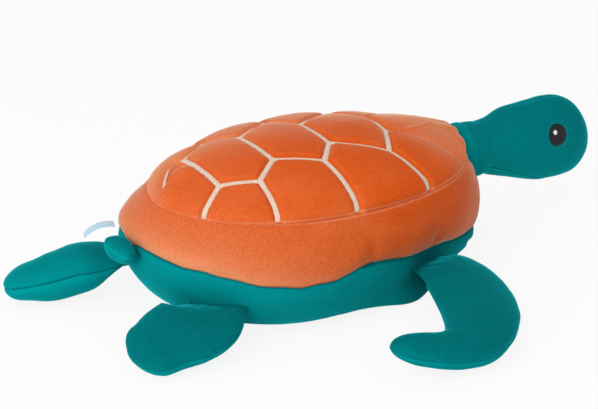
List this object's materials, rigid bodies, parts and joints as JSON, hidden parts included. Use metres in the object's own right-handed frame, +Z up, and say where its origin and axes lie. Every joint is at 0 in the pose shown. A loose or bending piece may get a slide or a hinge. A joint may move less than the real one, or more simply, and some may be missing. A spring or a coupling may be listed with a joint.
{
  "type": "plush sea turtle",
  "caption": "Stuffed sea turtle lying on its belly, with a quilted domed shell, a raised head, sweeping flippers, a short tail and a ribbon loop beside it.",
  "frame": {"origin": "in the flat face that the belly rests on, under the middle of the belly", "axes": "+X from the tail to the head, +Y to the turtle's left, +Z up"},
  "size_m": [0.4915, 0.4148, 0.125],
  "materials": {
    "orange_plush": "short pile plush, saturated orange, slightly shaded by the lie of its pile",
    "orange_band_plush": "short pile plush, orange, brushed lighter",
    "teal_plush": "short pile plush, dark teal",
    "cream_thread": "satin-stitched cream embroidery thread",
    "black_thread": "satin-stitched near-black embroidery thread",
    "white_thread": "satin-stitched white embroidery thread",
    "stuffing": "white polyester fibre stuffing, hidden",
    "ribbon": "light blue satin ribbon, bare"
  },
  "bodies": {
    "body": {"shell_top_panel": "orange_plush", "shell_embroidery": "cream_thread", "shell_side_band_left": "orange_band_plush", "shell_side_band_right": "orange_band_plush", "belly_panel": "teal_plush", "body_filling": "stuffing"},
    "head": {"head_side_panel_left": "teal_plush", "head_side_panel_right": "teal_plush", "throat_gusset": "teal_plush", "head_filling": "stuffing", "eye_left": "black_thread", "eye_right": "black_thread", "eye_highlight_left": "white_thread", "eye_highlight_right": "white_thread"},
    "front_flipper_left": {"front_flipper_left_upper_panel": "teal_plush", "front_flipper_left_lower_panel": "teal_plush", "front_flipper_left_filling": "stuffing"},
    "front_flipper_right": {"front_flipper_right_upper_panel": "teal_plush", "front_flipper_right_lower_panel": "teal_plush", "front_flipper_right_filling": "stuffing"},
    "rear_flipper_left": {"rear_flipper_left_upper_panel": "teal_plush", "rear_flipper_left_lower_panel": "teal_plush", "rear_flipper_left_filling": "stuffing"},
    "rear_flipper_right": {"rear_flipper_right_upper_panel": "teal_plush", "rear_flipper_right_lower_panel": "teal_plush", "rear_flipper_right_filling": "stuffing"},
    "tail": {"tail_upper_panel": "teal_plush", "tail_lower_panel": "teal_plush", "tail_filling": "stuffing"},
    "ribbon": {"seam_ribbon": "ribbon"}
  },
  "joints": [
    {"name": "head_nod", "type": "hinge", "parent": "body", "child": "head", "pos_m": [0.1365, 0, 0.078], "axis": [0, -1, 0], "range_deg": [-10, 30], "stiffness_Nm_per_rad": 1.5},
    {"name": "front_left_flap", "type": "hinge", "parent": "body", "child": "front_flipper_left", "pos_m": [0.05228, 0.08242, 0.029], "axis": [0.9282, -0.3721, 0], "range_deg": [-8, 35], "stiffness_Nm_per_rad": 0.6},
    {"name": "front_right_flap", "type": "hinge", "parent": "body", "child": "front_flipper_right", "pos_m": [0.05228, -0.08242, 0.029], "axis": [-0.9282, -0.3721, 0], "range_deg": [-8, 35], "stiffness_Nm_per_rad": 0.6},
    {"name": "rear_left_flap", "type": "hinge", "parent": "body", "child": "rear_flipper_left", "pos_m": [-0.13872, 0.04525, 0.03], "axis": [0.4659, 0.8849, 0], "range_deg": [-8, 15], "stiffness_Nm_per_rad": 0.5},
    {"name": "rear_right_flap", "type": "hinge", "parent": "body", "child": "rear_flipper_right", "pos_m": [-0.12064, -0.07045, 0.03], "axis": [-0.7315, 0.6818, 0], "range_deg": [-8, 30], "stiffness_Nm_per_rad": 0.5},
    {"name": "tail_wag", "type": "hinge", "parent": "body", "child": "tail", "pos_m": [-0.15687, 0, 0.0565], "axis": [0, 1, 0], "range_deg": [-20, 10], "stiffness_Nm_per_rad": 0.1},
    {"name": "ribbon_lift", "type": "hinge", "parent": "body", "child": "ribbon", "pos_m": [-0.1473, 0.04383, 0.0576], "axis": [0.2852, 0.9585, 0], "range_deg": [-10, 35], "stiffness_Nm_per_rad": 0.002}
  ]
}
